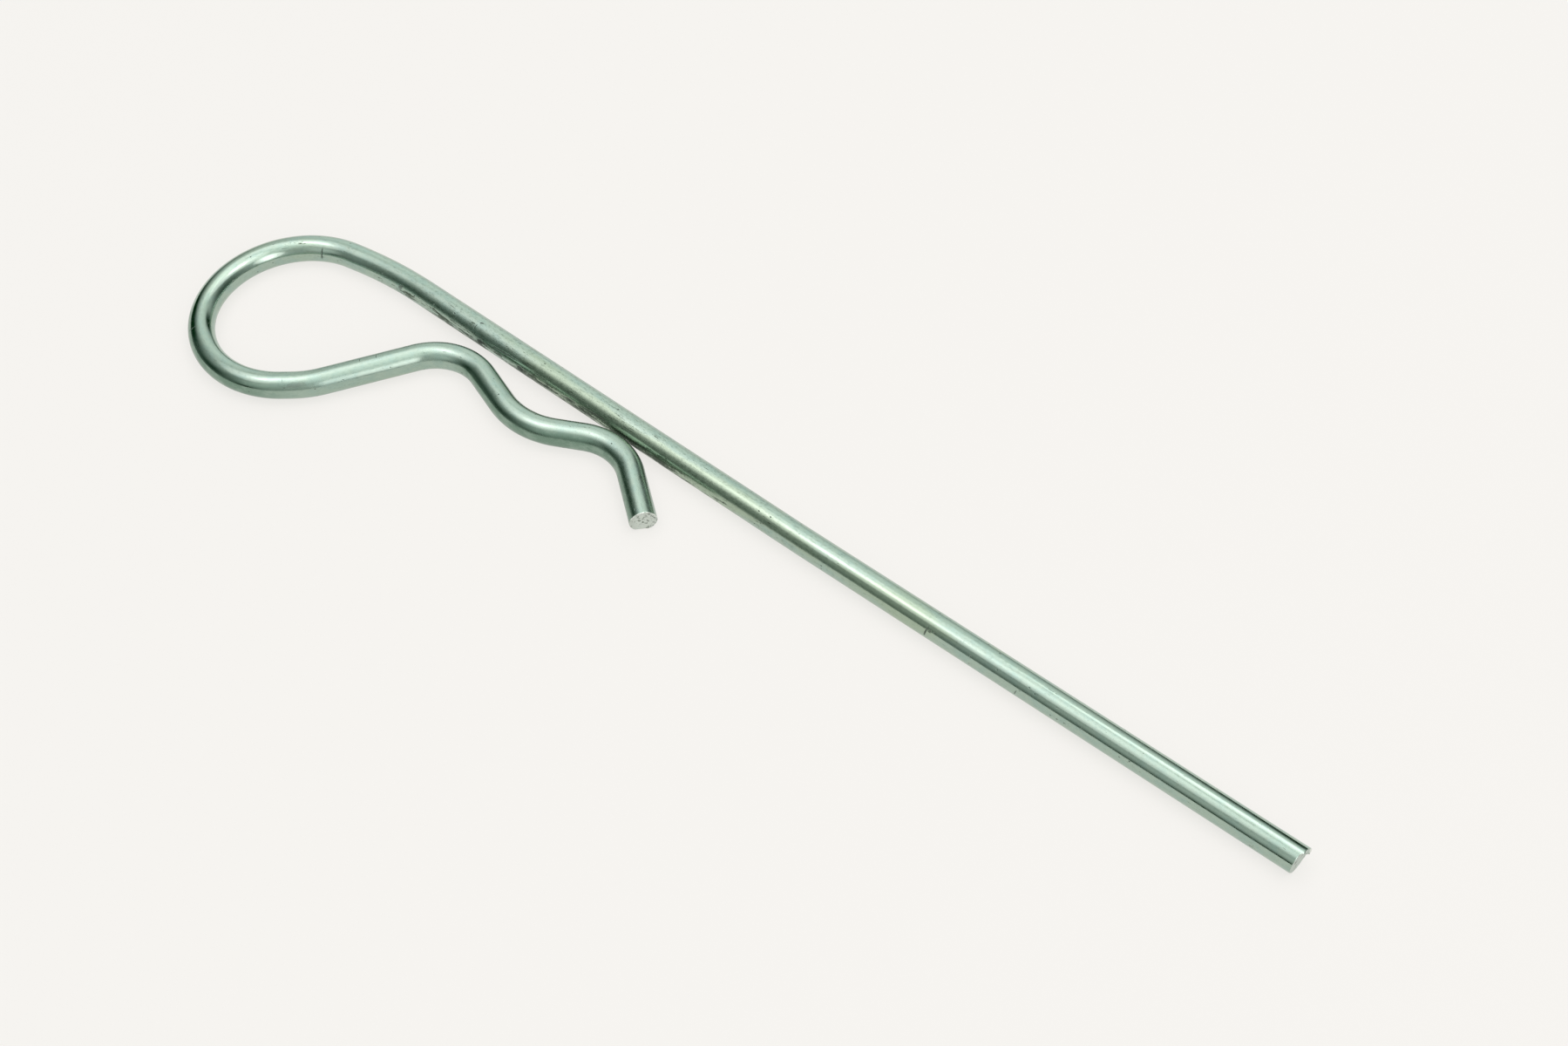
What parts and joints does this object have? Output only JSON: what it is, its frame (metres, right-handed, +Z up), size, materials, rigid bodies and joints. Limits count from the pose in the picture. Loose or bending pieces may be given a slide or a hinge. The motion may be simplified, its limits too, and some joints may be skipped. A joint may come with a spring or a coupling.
{
  "type": "hitch r-clip pin",
  "caption": "Bent round spring wire clip with a long straight leg, a finger loop and a waved spring leg that locks a cross-drilled shaft.",
  "frame": {"origin": "middle of the overall box, on the surface that the clip lies on", "axes": "+X along the free stretch of the straight leg, towards its tip; +Y from the bent leg towards the straight leg; +Z up, square to the flat of the clip"},
  "size_m": [0.1822, 0.0333, 0.004],
  "materials": {
    "zinc_wire": "bright zinc plate over drawn spring wire, lightly worn and grimed"
  },
  "bodies": {
    "root": {"r_clip": "zinc_wire"}
  },
  "joints": []
}
